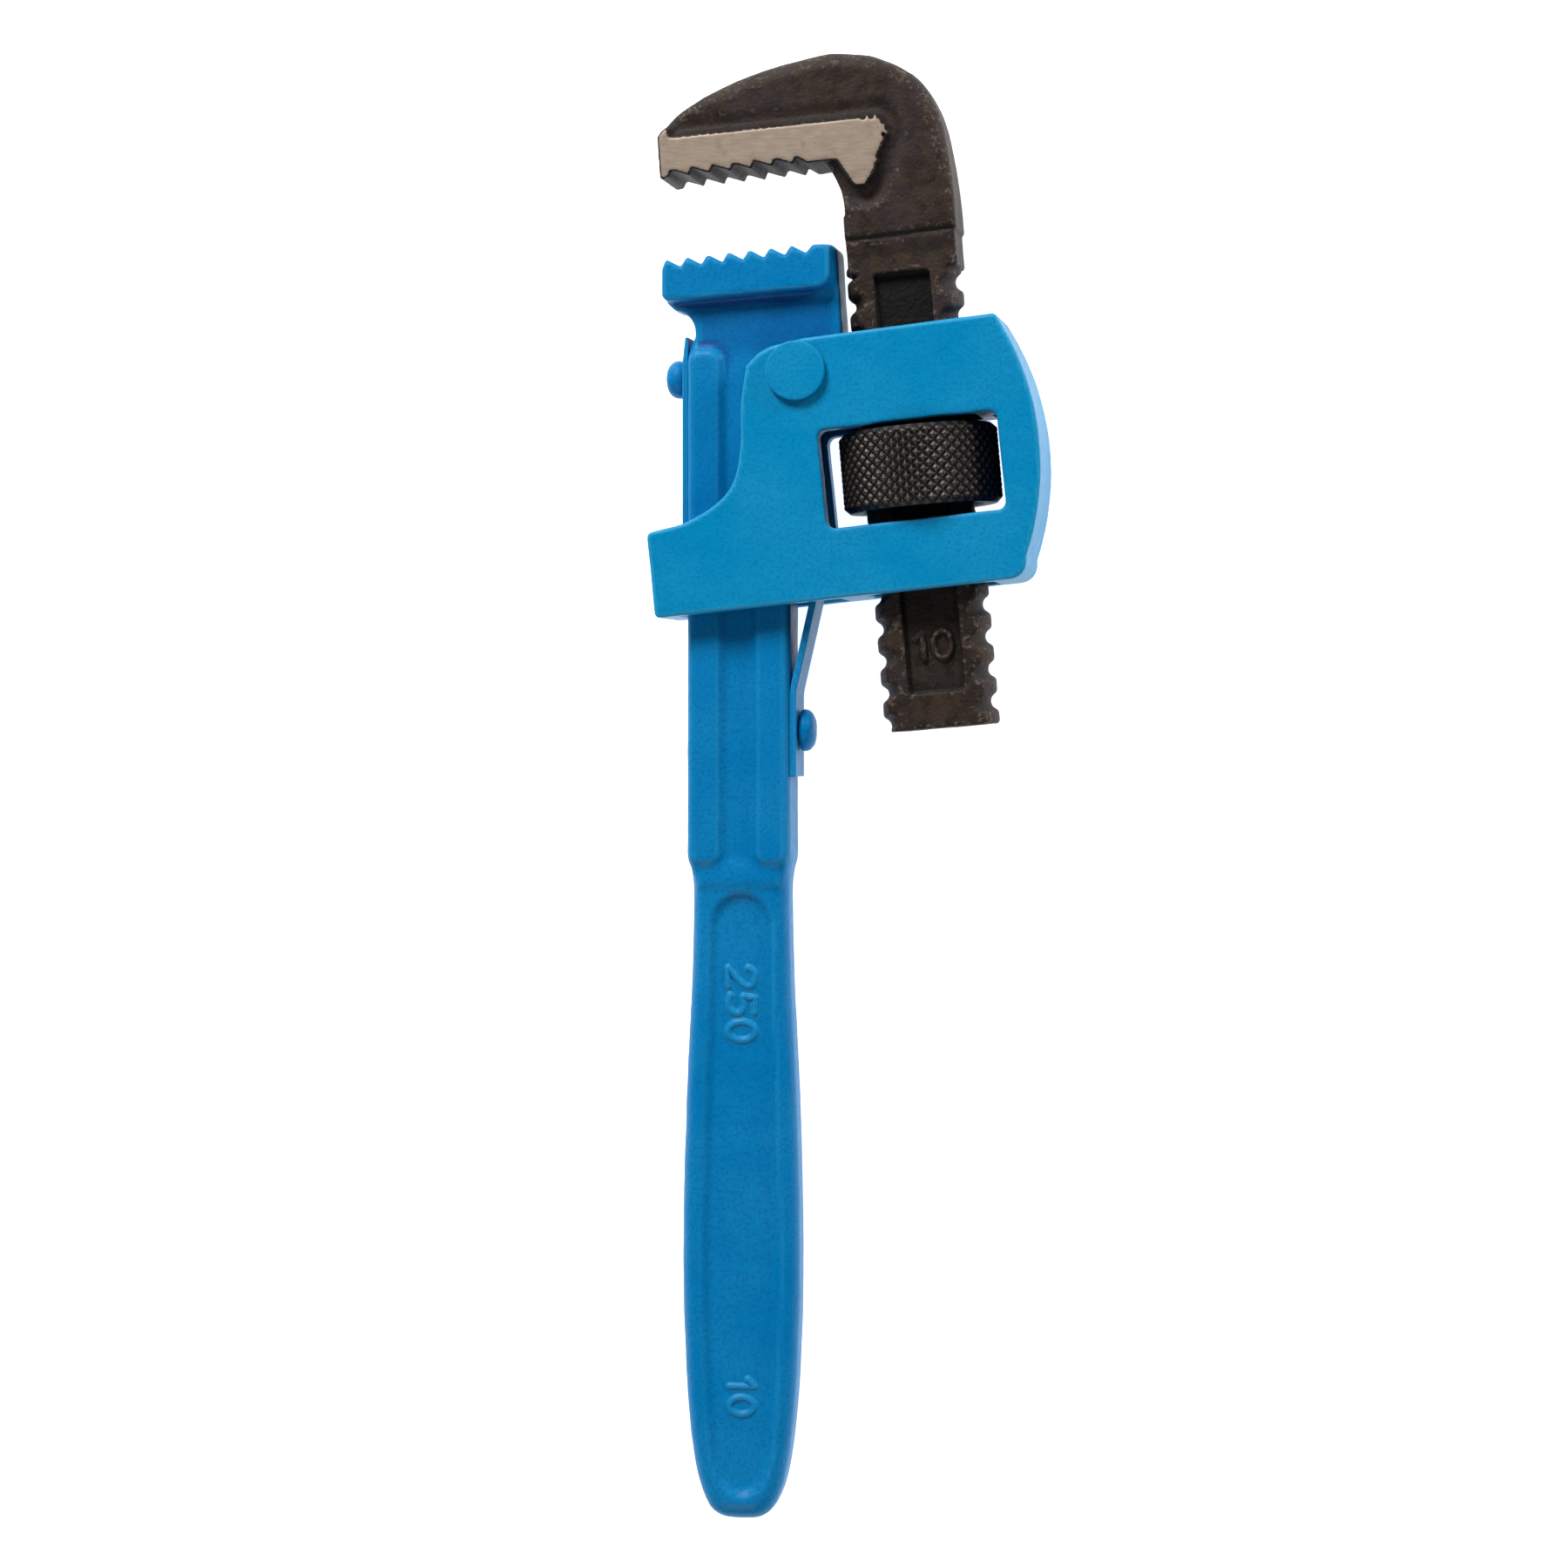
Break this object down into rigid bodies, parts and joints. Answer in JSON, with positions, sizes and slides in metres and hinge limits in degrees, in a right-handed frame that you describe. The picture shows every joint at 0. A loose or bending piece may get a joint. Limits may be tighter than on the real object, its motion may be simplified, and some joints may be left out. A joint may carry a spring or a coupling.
{
  "type": "pipe wrench",
  "caption": "Adjustable pipe wrench: a sprung frame on a straight handle with a fixed toothed heel jaw, and a hook jaw on a threaded rack moved by a knurled nut.",
  "frame": {"origin": "bottom centre of the bounding box, with the wrench lying on its side", "axes": "+Y along the handle towards the jaws, +X towards the hook jaw's shank, +Z across the flats"},
  "size_m": [0.0682, 0.2546, 0.0272],
  "materials": {
    "blue_enamel": "satin enamel over forged steel",
    "forged_scale": "dark forging scale, with bright ground jaw faces",
    "black_oxide": "black oxide, knurled"
  },
  "bodies": {
    "handle": {"handle": "blue_enamel", "back_spring": "blue_enamel", "back_spring_rivet": "blue_enamel", "front_spring": "blue_enamel", "front_spring_rivet": "blue_enamel"},
    "frame": {"frame": "blue_enamel", "frame_pin": "blue_enamel"},
    "hook_jaw": {"hook_jaw": "forged_scale"},
    "adjusting_nut": {"adjusting_nut": "black_oxide"}
  },
  "joints": [
    {"name": "frame_pivot", "type": "hinge", "parent": "handle", "child": "frame", "pos_m": [-0.00806, 0.07199, 0.0136], "axis": [0, 0, 1], "range_deg": [-8, 1], "stiffness_Nm_per_rad": 0.5, "deforming": ["front_spring", "back_spring"]},
    {"name": "hook_slide", "type": "slide", "parent": "frame", "child": "hook_jaw", "axis": [-0.0854, 0.9963, 0], "range_m": [-0.0125, 0.022]},
    {"name": "nut_spin", "type": "hinge", "parent": "frame", "child": "adjusting_nut", "pos_m": [0.01231, 0.05562, 0.0136], "axis": [-0.0854, 0.9963, 0], "range_deg": [-1420, 810]}
  ],
  "couplings": [
    {"joint": "nut_spin", "follows": "hook_slide", "rad_per_m": -1122}
  ]
}
